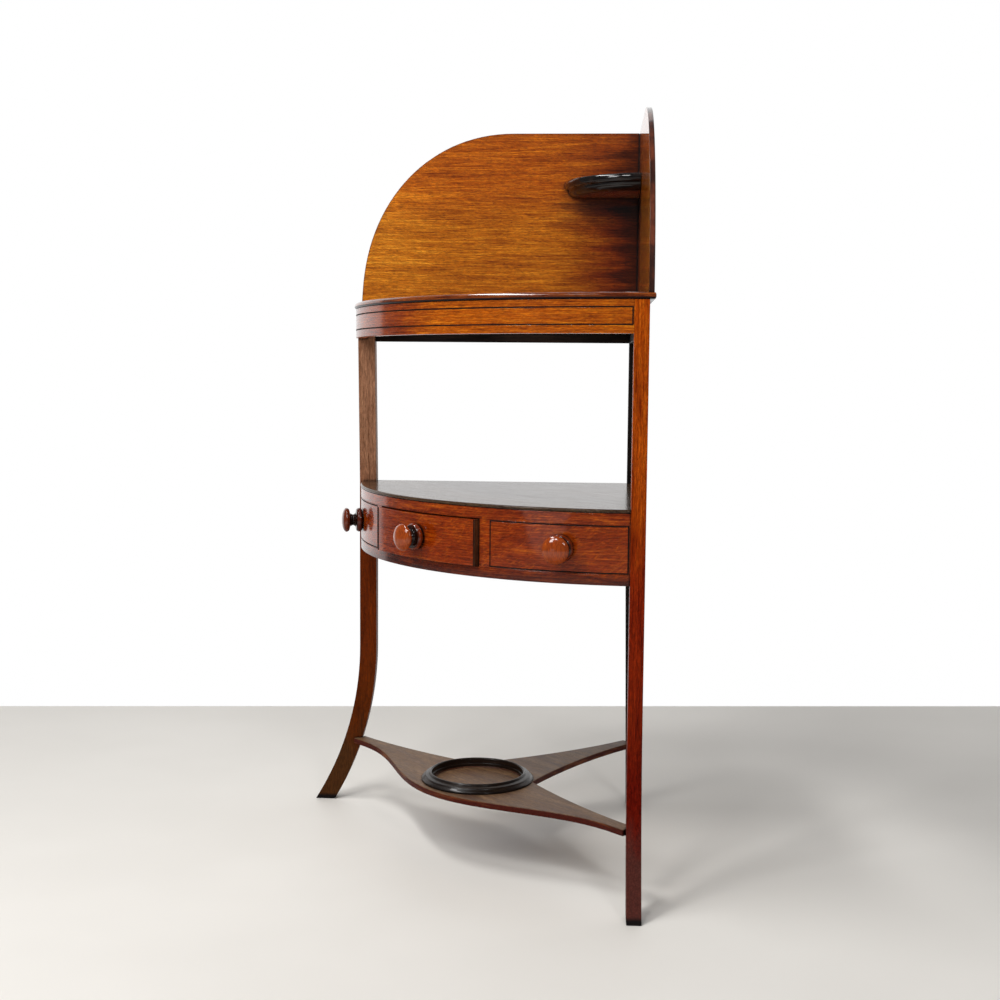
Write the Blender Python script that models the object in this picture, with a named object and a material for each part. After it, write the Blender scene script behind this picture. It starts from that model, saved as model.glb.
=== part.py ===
"""Corner washstand with a bowed front, a splashback, one drawer and a jug stretcher.

The stand fits a right-angled corner. Its two straight sides run along the walls from the
back corner, and the front is an arc about that corner. Three legs carry a top board, a
shelf over a drawer case and a three-armed stretcher. Metres, +Z up, the floor at z = 0,
the centre line on the YZ plane and the bowed front towards -Y.

Two plan systems are used. Along a wall, a place is (along, off): its distance from the back
corner and its distance from the wall. On the bow it is (radius, bearing): the distance from
the back corner and the angle from the centre line, positive towards +X.
"""
import math

import bmesh
import bpy
from mathutils import Matrix, Vector

# Plan of the whole stand
SIDE = 0.430
CASE_INSET = 0.0075
FIT_GAP = 0.0003
OVERRUN = 0.010

# Heights above the floor
TOP_HEIGHT = 0.779
SHELF_HEIGHT = 0.508
STRETCHER_HEIGHT = 0.100

# Top board, with its basin and cup holes
TOP_THICK = 0.009
TOP_OVERHANG = 0.0025
TOP_WALL_OVERHANG = 0.0075
TOP_WALL_ROUND = 0.0025
BASIN_RADIUS = 0.135
BASIN_PLACE = 0.250
CUP_RADIUS = 0.041
CUP_PLACE = 0.352
CUP_BEARING = 32.5

# Splash panels and soap shelf
PANEL_THICK = 0.007
PANEL_SET_BACK = 0.002
PANEL_HEIGHT = 0.2615
PANEL_FOOT_LENGTH = 0.4265
PANEL_FLAT_LENGTH = 0.190
PANEL_RAKE = 0.016
PANEL_KNEE = 0.020
PANEL_FULLNESS = 2.15
SOAP_RADIUS = 0.1145
SOAP_THICK = 0.024
SOAP_RISE = 0.1885
SOAP_NOSE = 0.006
SOAP_COVE = 0.011

# Frieze and rails under the top board
FRIEZE_THICK = 0.016
FRIEZE_DEPTH = 0.0421
RAIL_THICK = 0.012
RAIL_DEPTH = 0.0463

# Shelf board and drawer case
SHELF_THICK = 0.005
SHELF_OVERHANG = 0.001
BOW_RAIL_THICK = 0.018
TOP_RAIL_DEPTH = 0.0148
FRONT_DEPTH = 0.0631
FOOT_RAIL_DEPTH = 0.0140
FRONT_THICK = 0.014
OPENING_WIDTH = 0.213
CASE_BOARD_THICK = 0.006
RUNNER_WIDTH = 0.024
GUIDE_WIDTH = 0.010
GUIDE_HEIGHT = 0.020

# Drawer
DRAWER_AJAR = 0.007
DRAWER_CLEAR = 0.001
DRAWER_LENGTH = 0.285
DRAWER_FRONT_THICK = 0.016
DRAWER_SIDE_THICK = 0.007
DRAWER_SIDE_INSET = 0.006
DRAWER_BACK_DROP = 0.008
DRAWER_BOTTOM_THICK = 0.005
DRAWER_BOTTOM_RISE = 0.005
DRAWER_GROOVE = 0.0035
BEAD_WIDTH = 0.0024
BEAD_DEPTH = 0.010
BEAD_PROUD = 0.0004

# Black stringing, let into the frieze and the two blind fronts
STRING_WIDTH = 0.0012
STRING_DEPTH = 0.0015
FRIEZE_STRING_TOP_INSET = 0.0088
FRIEZE_STRING_FOOT_INSET = 0.0105
FRIEZE_STRING_END_INSET = 0.0012
FRONT_STRING_EDGE_INSET = 0.001
FRONT_STRING_STILE = 0.016
FRONT_STRING_END_INSET = 0.0018

# Legs
LEG_DEPTH = 0.026
LEG_THICK = 0.019
LEG_DRAW_IN = 0.003
SPLAY_START_HEIGHT = 0.248
SPLAY_RADIUS = 0.470
BACK_LEG_FOOT_SIZE = 0.0125
BACK_TAPER_DROP = 0.017
TENON_LENGTH = 0.0075
BACK_TENON_LENGTH = 0.0025
TENON_THICK = 0.005
TENON_SHOULDER = 0.003

# Stretcher and its jug ring
STRETCHER_THICK = 0.0085
RING_PLACE = 0.318
RING_RADIUS = 0.0795
ARM_HALF_WIDTH = 0.011
ARM_LET_IN = 0.005
ARM_FLARE = 1.8
FRONT_SWELL = 0.087
FRONT_SWELL_REACH = 0.268
BACK_NOTCH_TURN = 38.0
STRETCHER_ARRIS = 0.001
RIM_RADIUS = 0.069
RIM_WALL = 0.004
RIM_HEIGHT = 0.0115
RIM_LEDGE = 0.0012
RING_RECESS_DEPTH = 0.0025
RIM_ROUND = 0.0014
RING_BASE_HEIGHT = 0.0035
RING_BASE_ROUND = 0.0012
RING_BEAD_RADIUS = 0.0025
RING_BEAD_RISE_share = 0.80

# Knobs
KNOB_BEARING = 30.3
KNOB_RADIUS = 0.0183
KNOB_LENGTH = 0.031
KNOB_STEM_RADIUS = 0.0045
KNOB_STEM_DEPTH = 0.009
KNOB_STAND = 0.0004
KNOB_FLANGE_RADIUS = 0.0181
KNOB_FLANGE_THICK = 0.010
KNOB_NECK_RADIUS = 0.0078
KNOB_DISC_THICK = 0.0125
KNOB_DOME_share = 0.55
KNOB_UNDERCUT_RADIUS_share = 0.90
KNOB_UNDERCUT_HEIGHT_share = 0.35
KNOB_THROAT_share = 1.25
KNOB_SEAT_share = 1.30

# Glue blocks and screws
BLOCK_SIZE = 0.014
BLOCK_LENGTH = 0.050
BLOCK_PLACE_shares = (0.30, 0.70)
CASE_BLOCK_PLACE_shares = (0.15, 0.85)
SCREW_RADIUS = 0.0014
SCREW_HEAD_RADIUS = 0.0026
SCREW_HEAD_DEPTH = 0.0018
SCREW_BITE = 0.012
PANEL_SCREW_shares = (0.16, 0.50, 0.84)

# Facets
BOW_FACET = math.radians(2.25)
ROUND_STEPS = 40
KNOB_STEPS = 20
SWEEP_STEPS = 30
SCREW_STEPS = 8
CURVE_STEPS = 18
NOSE_STEPS = 5
SMOOTH_ANGLE = math.radians(32)

# Heights and radii that follow
TOP_FOOT = TOP_HEIGHT - TOP_THICK
SHELF_FOOT = SHELF_HEIGHT - SHELF_THICK
SOAP_HEIGHT = TOP_HEIGHT + SOAP_RISE
OPENING_HEAD_HEIGHT = SHELF_FOOT - TOP_RAIL_DEPTH
OPENING_FOOT_HEIGHT = OPENING_HEAD_HEIGHT - FRONT_DEPTH
CASE_FOOT_HEIGHT = OPENING_FOOT_HEIGHT - FOOT_RAIL_DEPTH
BACK_TAPER_HEIGHT = CASE_FOOT_HEIGHT - BACK_TAPER_DROP
CASE_RADIUS = SIDE - CASE_INSET
BACK_LEG_INNER = RAIL_THICK + FIT_GAP / 2
BACK_LEG_SET_OUT = LEG_THICK - BACK_LEG_INNER
RING_BORE_RADIUS = RIM_RADIUS - RIM_WALL - RIM_LEDGE
CASE_BOARD_TOP = CASE_FOOT_HEIGHT + CASE_BOARD_THICK
OPENING_HALF = OPENING_WIDTH / 2
KNOB_HEIGHT = (OPENING_FOOT_HEIGHT + OPENING_HEAD_HEIGHT) / 2
PANEL_OFF = PANEL_SET_BACK - TOP_WALL_OVERHANG
PANEL_INNER_OFF = PANEL_OFF + PANEL_THICK
FRONTMOST = CASE_RADIUS + DRAWER_AJAR + KNOB_LENGTH
CORNER_Y = (FRONTMOST - TOP_WALL_OVERHANG * math.sqrt(2)) / 2
QUARTER = math.radians(45)

RED_MAHOGANY = (0.30, 0.085, 0.025, 1.0)
GOLD_MAHOGANY = (0.42, 0.150, 0.035, 1.0)
DARK_MAHOGANY = (0.13, 0.035, 0.018, 1.0)
PINE = (0.42, 0.27, 0.13, 1.0)
EBONY = (0.012, 0.010, 0.009, 1.0)
BRASS = (0.55, 0.42, 0.18, 1.0)


def clear_scene():
    for item in list(bpy.data.objects):
        bpy.data.objects.remove(item, do_unlink=True)


def wood(name, colour, roughness, metallic=0.0):
    material = bpy.data.materials.new(name)
    material.use_nodes = True
    shader = material.node_tree.nodes["Principled BSDF"]
    shader.inputs["Base Color"].default_value = colour
    shader.inputs["Roughness"].default_value = roughness
    shader.inputs["Metallic"].default_value = metallic
    material.diffuse_color = colour
    return material


# Plan geometry

def wall_point(along, off, side=1):
    """Plan point at a distance along the right wall (side 1) or the left wall (side -1)."""
    across = (along - off) * math.sqrt(0.5) * side
    return across, CORNER_Y - (along + off) * math.sqrt(0.5)


def bow_point(radius, bearing):
    return radius * math.sin(bearing), CORNER_Y - radius * math.cos(bearing)


def end_bearing(radius, off):
    """Bearing at which a circle about the corner comes to the given distance off the wall."""
    return QUARTER - math.asin(off / radius)


def bow_arc(radius, first, last):
    steps = max(round(abs(last - first) / BOW_FACET), 2)
    return [bow_point(radius, first + (last - first) * i / steps) for i in range(steps + 1)]


def bow_outline(outer, inner, off):
    """Plan of a curved bar between the two walls, its ends square to neither wall but flush
    with the legs' inner faces, which lie at the same distance off each wall."""
    far = end_bearing(outer, off)
    near = end_bearing(inner, off)
    return bow_arc(outer, -far, far) + bow_arc(inner, near, -near)


# Solids

def finish(name, mesh_builder, material, smooth=False):
    mesh = bpy.data.meshes.new(name)
    bmesh.ops.remove_doubles(mesh_builder, verts=mesh_builder.verts, dist=FIT_GAP / 100)
    bmesh.ops.recalc_face_normals(mesh_builder, faces=mesh_builder.faces)
    mesh_builder.to_mesh(mesh)
    mesh_builder.free()
    piece = bpy.data.objects.new(name, mesh)
    bpy.context.collection.objects.link(piece)
    piece.data.materials.append(material)
    if smooth:
        shade(piece)
    return piece


def shade(piece):
    piece.data.shade_smooth()
    piece.data.set_sharp_from_angle(angle=SMOOTH_ANGLE)


def loft(name, rings, material, smooth=False):
    """Closed solid through rings of points of one length, capped at both ends."""
    mesh_builder = bmesh.new()
    rows = [[mesh_builder.verts.new(point) for point in ring] for ring in rings]
    count = len(rows[0])
    for lower, upper in zip(rows, rows[1:]):
        for i in range(count):
            j = (i + 1) % count
            mesh_builder.faces.new((lower[i], lower[j], upper[j], upper[i]))
    mesh_builder.faces.new(rows[0][::-1])
    mesh_builder.faces.new(rows[-1])
    return finish(name, mesh_builder, material, smooth)


def prism(name, outline, low, high, material, smooth=False):
    rings = [[(x, y, z) for x, y in outline] for z in (low, high)]
    return loft(name, rings, material, smooth)


def wall_box(name, side, along, off, height, material):
    corners = ((along[0], off[0]), (along[1], off[0]), (along[1], off[1]), (along[0], off[1]))
    outline = [wall_point(a, o, side) for a, o in corners]
    return prism(name, outline, height[0], height[1], material)


def box(name, low, high, material):
    outline = [(low[0], low[1]), (high[0], low[1]), (high[0], high[1]), (low[0], high[1])]
    return prism(name, outline, low[2], high[2], material)


def turned(name, profile, steps, material, smooth=True):
    """Solid of revolution about +Z of a profile of (radius, height), outer side first."""
    mesh_builder = bmesh.new()
    closed = min(radius for radius, _ in profile) > 0
    edges = []
    points = [mesh_builder.verts.new((radius, 0, height)) for radius, height in profile]
    for first, second in zip(points, points[1:]):
        edges.append(mesh_builder.edges.new((first, second)))
    if closed:
        edges.append(mesh_builder.edges.new((points[-1], points[0])))
    bmesh.ops.spin(mesh_builder, geom=points + edges, cent=(0, 0, 0), axis=(0, 0, 1),
                   angle=math.tau, steps=steps, use_merge=True)
    return finish(name, mesh_builder, material, smooth)


def combine(piece, tool, operation):
    """Boolean of one piece with a tool, which is then removed."""
    modifier = piece.modifiers.new(operation.lower(), "BOOLEAN")
    modifier.operation = operation
    modifier.solver = "EXACT"
    modifier.object = tool
    bpy.context.view_layer.update()
    graph = bpy.context.evaluated_depsgraph_get()
    result = bpy.data.meshes.new_from_object(piece.evaluated_get(graph), depsgraph=graph)
    old = piece.data
    piece.modifiers.clear()
    piece.data = result
    bpy.data.meshes.remove(old)
    bpy.data.objects.remove(tool, do_unlink=True)
    return piece


def soften(piece, width, segments=1):
    modifier = piece.modifiers.new("arris", "BEVEL")
    modifier.width = width
    modifier.segments = segments
    modifier.limit_method = "ANGLE"
    modifier.angle_limit = math.radians(50)


def place_along(piece, origin, direction):
    """Stand a piece that was made about +Z on a point, pointing along a direction."""
    turn = Vector((0, 0, 1)).rotation_difference(Vector(direction)).to_matrix().to_4x4()
    piece.matrix_world = Matrix.Translation(Vector(origin)) @ turn
    bpy.context.view_layer.update()
    return piece


# Legs

def draw_in(height):
    """How far the outer face of a front leg stands inside the frieze's bow."""
    reach = TOP_FOOT - SHELF_HEIGHT
    share = min(max((TOP_FOOT - height) / reach, 0), 1)
    return LEG_DRAW_IN * share


def front_leg_outline(grow=0):
    """Side view of the sabre leg as (along, height), grown for a housing."""
    bottom = -grow
    top = TOP_FOOT + grow
    shank = SIDE - LEG_DRAW_IN
    outer = [(SIDE + grow, top), (shank + grow, SHELF_HEIGHT)]
    inner = [(SIDE - LEG_DEPTH - grow, top), (shank - LEG_DEPTH - grow, SHELF_HEIGHT)]
    centre = shank + SPLAY_RADIUS
    for i in range(CURVE_STEPS + 1):
        height = SPLAY_START_HEIGHT + (bottom - SPLAY_START_HEIGHT) * i / CURVE_STEPS
        drop = SPLAY_START_HEIGHT - height
        outer.append((centre - math.sqrt((SPLAY_RADIUS - grow) ** 2 - drop ** 2), height))
        reach = SPLAY_RADIUS + LEG_DEPTH + grow
        inner.append((centre - math.sqrt(reach ** 2 - drop ** 2), height))
    return outer + inner[::-1]


def front_leg(name, side, material, grow=0):
    outline = front_leg_outline(grow)
    rings = []
    for off in (-grow, LEG_THICK + grow):
        rings.append([(*wall_point(along, off, side), height) for along, height in outline])
    return loft(name, rings, material)


def back_leg(name, material, grow=0):
    """Square leg that stands out to the walls, beyond the rails, and whose two inner faces
    taper below the drawer case."""
    rings = []
    heights = ((-grow, BACK_LEG_FOOT_SIZE), (BACK_TAPER_HEIGHT, LEG_THICK))
    for height, size in heights + ((TOP_FOOT + grow, LEG_THICK),):
        low = -BACK_LEG_SET_OUT - grow
        high = size - BACK_LEG_SET_OUT + grow
        corners = ((low, low), (high, low), (high, high), (low, high))
        rings.append([(*wall_point(a, o), height) for a, o in corners])
    return loft(name, rings, material)


def mortise_and_tenon(piece, leg, side, along, off, height):
    """Add a tenon to a rail and cut its mortise, a fit gap larger, in the leg."""
    tenon = wall_box("tenon", side, along, off, height, piece.data.materials[0])
    combine(piece, tenon, "UNION")
    grown = [(pair[0] - FIT_GAP, pair[1] + FIT_GAP) for pair in (along, off, height)]
    hollow = wall_box("mortise", side, *grown, piece.data.materials[0])
    combine(leg, hollow, "DIFFERENCE")


# Boards

def quarter_outline(radius, off):
    """Plan of a quarter-round board that stands off both walls by the same distance."""
    bearing = end_bearing(radius, off)
    return [wall_point(off, off)] + bow_arc(radius, bearing, -bearing)


def nosed_board(name, radius, foot, thick, material, off=0, wall_round=0):
    """Quarter-round board with a half-round nosing on its bowed edge and, where asked,
    a small rounding on the arrises of its wall edges."""
    rings = []
    nose = thick / 2
    for i in range(NOSE_STEPS + 1):
        turn = math.pi * i / NOSE_STEPS
        reach = radius - nose + nose * math.sin(turn)
        height = nose - nose * math.cos(turn)
        short = max(wall_round - min(height, thick - height), 0)
        inset = wall_round - math.sqrt(wall_round ** 2 - short ** 2)
        outline = quarter_outline(reach, off + inset)
        rings.append([(x, y, foot + height) for x, y in outline])
    return loft(name, rings, material, smooth=True)


def cut_front_leg_slots(board, low, high):
    """Notch a board round the two front legs, open towards the walls and the front."""
    material = board.data.materials[0]
    height = (low - OVERRUN, high + OVERRUN)
    off = (-OVERRUN, LEG_THICK + FIT_GAP)
    along = (SIDE - LEG_DRAW_IN - LEG_DEPTH - FIT_GAP, SIDE + OVERRUN)
    for side in (-1, 1):
        combine(board, wall_box("slot", side, along, off, height, material), "DIFFERENCE")


def cut_back_leg_slot(board, low, high):
    """Notch a board's corner round the back leg."""
    height = (low - OVERRUN, high + OVERRUN)
    off = (-OVERRUN, BACK_LEG_INNER + FIT_GAP)
    tool = wall_box("slot", 1, off, off, height, board.data.materials[0])
    combine(board, tool, "DIFFERENCE")


def cut_hole(board, centre, radius, low, high):
    profile = [(0, high + OVERRUN), (radius, high + OVERRUN), (radius, low - OVERRUN),
               (0, low - OVERRUN)]
    tool = turned("hole", profile, ROUND_STEPS, board.data.materials[0])
    tool.location = (centre[0], centre[1], 0)
    return combine(board, tool, "DIFFERENCE")


def top_board(material):
    board = nosed_board("top_board", SIDE + TOP_OVERHANG, TOP_FOOT, TOP_THICK, material,
                        -TOP_WALL_OVERHANG, TOP_WALL_ROUND)
    cut_hole(board, bow_point(BASIN_PLACE, 0), BASIN_RADIUS, TOP_FOOT, TOP_HEIGHT)
    for sign in (-1, 1):
        place = bow_point(CUP_PLACE, sign * math.radians(CUP_BEARING))
        cut_hole(board, place, CUP_RADIUS, TOP_FOOT, TOP_HEIGHT)
    shade(board)
    return board


def shelf_board(material):
    board = nosed_board("shelf_board", CASE_RADIUS + SHELF_OVERHANG, SHELF_FOOT,
                        SHELF_THICK, material)
    cut_front_leg_slots(board, SHELF_FOOT, SHELF_HEIGHT)
    cut_back_leg_slot(board, SHELF_FOOT, SHELF_HEIGHT)
    shade(board)
    return board


# Splashback

def panel_outline(start):
    """Side view of a splash panel: flat top, then a full quarter sweep to a raked foot."""
    base = TOP_HEIGHT
    head = TOP_HEIGHT + PANEL_HEIGHT
    points = [(start, base), (start, head), (PANEL_FLAT_LENGTH, head)]
    sweep = PANEL_FOOT_LENGTH - PANEL_RAKE - PANEL_FLAT_LENGTH
    knee = base + PANEL_KNEE
    power = 2 / PANEL_FULLNESS
    for i in range(1, SWEEP_STEPS + 1):
        turn = QUARTER * 2 * i / SWEEP_STEPS
        along = PANEL_FLAT_LENGTH + sweep * math.sin(turn) ** power
        height = knee + (head - knee) * max(math.cos(turn), 0) ** power
        lean = PANEL_RAKE * (head - height) / (head - base)
        points.append((along + lean, height))
    points.append((PANEL_FOOT_LENGTH, base))
    return points


def splash_panel(name, side, start, material):
    rings = []
    for off in (PANEL_OFF, PANEL_INNER_OFF):
        rings.append([(*wall_point(a, off, side), z) for a, z in panel_outline(start)])
    return loft(name, rings, material, smooth=True)


def soap_outline(radius, off):
    """Quarter-round plan with the same number of points for every radius."""
    bearing = end_bearing(radius, off)
    arc = [bow_point(radius, bearing * (1 - 2 * i / SWEEP_STEPS)) for i in range(SWEEP_STEPS + 1)]
    return [wall_point(off, off)] + arc


def soap_shelf(material):
    """Small quarter-round shelf with a rounded top edge over a cove."""
    foot = SOAP_HEIGHT - SOAP_THICK
    off = PANEL_INNER_OFF + FIT_GAP
    rings = []
    for i in range(NOSE_STEPS + 1):
        turn = QUARTER * 2 * i / NOSE_STEPS
        reach = SOAP_RADIUS - SOAP_NOSE - SOAP_COVE * (1 - math.sin(turn))
        height = foot + SOAP_COVE * (1 - math.cos(turn))
        rings.append((reach, height))
    nose_height = foot + SOAP_COVE
    nose = (SOAP_THICK - SOAP_COVE) / 2
    for i in range(1, NOSE_STEPS + 1):
        turn = math.pi * i / NOSE_STEPS
        reach = SOAP_RADIUS - SOAP_NOSE + SOAP_NOSE * math.sin(turn)
        rings.append((reach, nose_height + nose * (1 - math.cos(turn))))
    solid = [[(x, y, z) for x, y in soap_outline(r, off)] for r, z in rings]
    return loft("soap_shelf", solid, material, smooth=True)


# Frieze, rails and inlay

def string_frame(name, outer_radius, bearings, heights, material, grow=0):
    """Thin rectangular frame that follows the bow, its face flush with the given radius."""
    inner_radius = outer_radius - STRING_DEPTH - grow
    face_radius = outer_radius + (OVERRUN if grow else 0)
    turn = grow / outer_radius
    wide = STRING_WIDTH + grow
    first, last = bearings[0] - turn, bearings[1] + turn
    low, high = heights[0] - grow, heights[1] + grow
    plan = bow_arc(face_radius, first, last) + bow_arc(inner_radius, last, first)
    frame = prism(name, plan, low, high, material)
    side = (wide + grow) / outer_radius
    middle = bow_arc(face_radius + OVERRUN, first + side, last - side)
    middle += bow_arc(inner_radius - OVERRUN, last - side, first + side)
    hollow = prism("middle", middle, low + wide + grow, high - wide - grow, material)
    return combine(frame, hollow, "DIFFERENCE")


def inlaid(piece, name, radius, bearings, heights, material):
    """Cut a groove for a string frame and lay the frame in it."""
    groove = string_frame("groove", radius, bearings, heights, material, FIT_GAP)
    combine(piece, groove, "DIFFERENCE")
    return string_frame(name, radius, bearings, heights, material)


def bow_tenons(piece, legs, outer, thick, low, high):
    """Tenons on both ends of a curved rail, let into the sides of the front legs."""
    middle = outer - thick / 2
    along = (middle - TENON_THICK / 2, middle + TENON_THICK / 2)
    off = (LEG_THICK - TENON_LENGTH, LEG_THICK + TENON_LENGTH)
    height = (low + TENON_SHOULDER, high - TENON_SHOULDER)
    for side, leg in zip((-1, 1), legs):
        mortise_and_tenon(piece, leg, side, along, off, height)


def frieze(material, black, legs):
    low = TOP_FOOT - FRIEZE_DEPTH
    plan = bow_outline(SIDE, SIDE - FRIEZE_THICK, LEG_THICK)
    piece = prism("upper_frieze", plan, low, TOP_FOOT, material)
    bow_tenons(piece, legs, SIDE, FRIEZE_THICK, low, TOP_FOOT)
    end = end_bearing(SIDE, LEG_THICK + FRIEZE_STRING_END_INSET)
    heights = (low + FRIEZE_STRING_FOOT_INSET, TOP_FOOT - FRIEZE_STRING_TOP_INSET)
    inlaid(piece, "frieze_stringing", SIDE, (-end, end), heights, black)
    shade(piece)
    return piece


def wall_rail(name, side, low, high, legs, material):
    """Straight rail along one wall between the back leg and a front leg, tenoned to both."""
    back, front = legs
    far = SIDE - draw_in(low) - LEG_DEPTH
    piece = wall_box(name, side, (BACK_LEG_INNER, far - FIT_GAP), (0, RAIL_THICK),
                     (low, high), material)
    middle = RAIL_THICK / 2
    off = (middle - TENON_THICK / 2, middle + TENON_THICK / 2)
    height = (low + TENON_SHOULDER, high - TENON_SHOULDER)
    near_end = (BACK_LEG_INNER - BACK_TENON_LENGTH, BACK_LEG_INNER + TENON_LENGTH)
    far_end = (far - TENON_LENGTH, far + TENON_LENGTH)
    mortise_and_tenon(piece, back, side, near_end, off, height)
    mortise_and_tenon(piece, front, side, far_end, off, height)
    return piece


# Drawer case

def blind_front(name, side, material):
    """Curved front beside the drawer, closed like a drawer but fixed."""
    far = end_bearing(CASE_RADIUS, LEG_THICK)
    near = end_bearing(CASE_RADIUS - FRONT_THICK, LEG_THICK)
    start_out = math.asin(OPENING_HALF / CASE_RADIUS)
    start_in = math.asin(OPENING_HALF / (CASE_RADIUS - FRONT_THICK))
    plan = bow_arc(CASE_RADIUS, side * start_out, side * far)
    plan += bow_arc(CASE_RADIUS - FRONT_THICK, side * near, side * start_in)
    return prism(name, plan, OPENING_FOOT_HEIGHT, OPENING_HEAD_HEIGHT, material)


def blind_front_pair(material, black):
    start = math.asin(OPENING_HALF / CASE_RADIUS) + FRONT_STRING_STILE / CASE_RADIUS
    end = end_bearing(CASE_RADIUS, LEG_THICK + FRONT_STRING_END_INSET)
    heights = (OPENING_FOOT_HEIGHT + FRONT_STRING_EDGE_INSET,
               OPENING_HEAD_HEIGHT - FRONT_STRING_EDGE_INSET)
    for side, hand in ((-1, "left"), (1, "right")):
        piece = blind_front("blind_front_" + hand, side, material)
        bearings = sorted((side * start, side * end))
        inlaid(piece, "front_stringing_" + hand, CASE_RADIUS, bearings, heights, black)
        shade(piece)


def case_bow_rail(name, low, high, legs, material):
    plan = bow_outline(CASE_RADIUS, CASE_RADIUS - BOW_RAIL_THICK, LEG_THICK)
    piece = prism(name, plan, low, high, material)
    bow_tenons(piece, legs, CASE_RADIUS, BOW_RAIL_THICK, low, high)
    shade(piece)
    return piece


def case_board(material):
    """Thin board that closes the case from below, fitted inside the rails."""
    radius = CASE_RADIUS - BOW_RAIL_THICK - FIT_GAP
    plan = quarter_outline(radius, RAIL_THICK + FIT_GAP)
    piece = prism("case_board", plan, CASE_FOOT_HEIGHT, CASE_BOARD_TOP, material)
    cut_front_leg_slots(piece, CASE_FOOT_HEIGHT, CASE_BOARD_TOP)
    return piece


def drawer_box_half():
    return OPENING_HALF - DRAWER_SIDE_INSET


def drawer_back_place():
    """Distance of the closed drawer's back from the corner, along the centre line."""
    return CASE_RADIUS - DRAWER_LENGTH


def wall_reach(across):
    """Smallest distance from the corner, along the centre line, clear of the wall rails."""
    return across + RAIL_THICK * math.sqrt(2) + FIT_GAP * 2


def front_reach(across, thick):
    """Distance from the corner to the back of a curved piece of the case front."""
    radius = CASE_RADIUS - thick - FIT_GAP
    return math.sqrt(radius ** 2 - across ** 2)


def strip(name, side, inner, outer, low, high, thick, material):
    """Straight strip from the wall rail to the curved front, parallel to the drawer's run."""
    corners = [(inner, wall_reach(inner)), (outer, wall_reach(outer))]
    corners += [(outer, front_reach(outer, thick)), (inner, front_reach(inner, thick))]
    outline = [(side * x, CORNER_Y - reach) for x, reach in corners]
    return prism(name, outline, low, high, material)


def drawer_way(material):
    """Runners under the drawer's sides, guides beside them and kickers above."""
    beside = drawer_box_half() + DRAWER_CLEAR
    outer = beside + GUIDE_WIDTH
    inner = outer - RUNNER_WIDTH
    runner_top = OPENING_FOOT_HEIGHT
    stop = DRAWER_FRONT_THICK + DRAWER_CLEAR
    for side, hand in ((-1, "left"), (1, "right")):
        strip("drawer_runner_" + hand, side, inner, outer, CASE_BOARD_TOP, runner_top,
              BOW_RAIL_THICK, material)
        strip("drawer_guide_" + hand, side, beside, outer, runner_top,
              runner_top + GUIDE_HEIGHT, stop, material)
        strip("drawer_kicker_" + hand, side, inner, outer, OPENING_HEAD_HEIGHT, SHELF_FOOT,
              BOW_RAIL_THICK, material)


# Drawer

def drawer_front(material, black):
    """Curved drawer front with a bead along its ends, rebated for the sides."""
    half = OPENING_HALF - DRAWER_CLEAR
    low = OPENING_FOOT_HEIGHT + DRAWER_CLEAR
    high = OPENING_HEAD_HEIGHT - DRAWER_CLEAR
    out = math.asin(half / CASE_RADIUS)
    radius = CASE_RADIUS - DRAWER_FRONT_THICK
    back = math.asin(half / radius)
    plan = bow_arc(CASE_RADIUS, -out, out) + bow_arc(radius, back, -back)
    piece = prism("drawer_front", plan, low, high, material)
    for side in (-1, 1):
        cut_bead_seat(piece, side, low, high)
        drawer_bead(side, low, high, black)
    return piece


def bead_reach(across):
    return math.sqrt(CASE_RADIUS ** 2 - across ** 2)


def cut_bead_seat(piece, side, low, high):
    half = OPENING_HALF - DRAWER_CLEAR
    inner = half - BEAD_WIDTH - FIT_GAP
    reach = bead_reach(inner) - BEAD_DEPTH
    low_corner = (min(side * inner, side * (half + OVERRUN)), CORNER_Y - reach - OVERRUN * 2)
    high_corner = (max(side * inner, side * (half + OVERRUN)), CORNER_Y - reach)
    tool = box("seat", (*low_corner, low - OVERRUN), (*high_corner, high + OVERRUN),
               piece.data.materials[0])
    combine(piece, tool, "DIFFERENCE")


def drawer_bead(side, low, high, material):
    """Upright bead that edges the drawer front and stands a little proud of it."""
    half = OPENING_HALF - DRAWER_CLEAR
    inner = half - BEAD_WIDTH
    back = bead_reach(half - BEAD_WIDTH - FIT_GAP) - BEAD_DEPTH + FIT_GAP
    face = bead_reach(inner) + BEAD_PROUD
    nose = BEAD_WIDTH / 2
    plan = [(inner, back), (half, back)]
    for i in range(NOSE_STEPS + 1):
        turn = math.pi * i / NOSE_STEPS
        plan.append((half - nose + nose * math.cos(turn), face - nose + nose * math.sin(turn)))
    outline = [(side * x, CORNER_Y - reach) for x, reach in plan]
    hand = "right" if side > 0 else "left"
    return prism("drawer_bead_" + hand, outline, low, high, material)


def drawer_side(side, material):
    """Side of the drawer box, grooved for the bottom board."""
    half = drawer_box_half()
    low = OPENING_FOOT_HEIGHT + FIT_GAP
    high = OPENING_HEAD_HEIGHT - DRAWER_CLEAR * 2
    inner = half - DRAWER_SIDE_THICK
    front = front_reach(half, DRAWER_FRONT_THICK)
    inner_front = front_reach(inner, DRAWER_FRONT_THICK)
    back = drawer_back_place()
    corners = [(inner, back), (half, back), (half, front), (inner, inner_front)]
    outline = [(side * x, CORNER_Y - reach) for x, reach in corners]
    hand = "right" if side > 0 else "left"
    piece = prism("drawer_side_" + hand, outline, low, high, material)
    groove_low = low + DRAWER_BOTTOM_RISE - FIT_GAP
    groove_high = groove_low + DRAWER_BOTTOM_THICK + FIT_GAP * 2
    edges = sorted((side * (inner - OVERRUN), side * (inner + DRAWER_GROOVE + FIT_GAP)))
    tool = box("groove", (edges[0], CORNER_Y - CASE_RADIUS, groove_low),
               (edges[1], CORNER_Y, groove_high), material)
    return combine(piece, tool, "DIFFERENCE")


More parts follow.
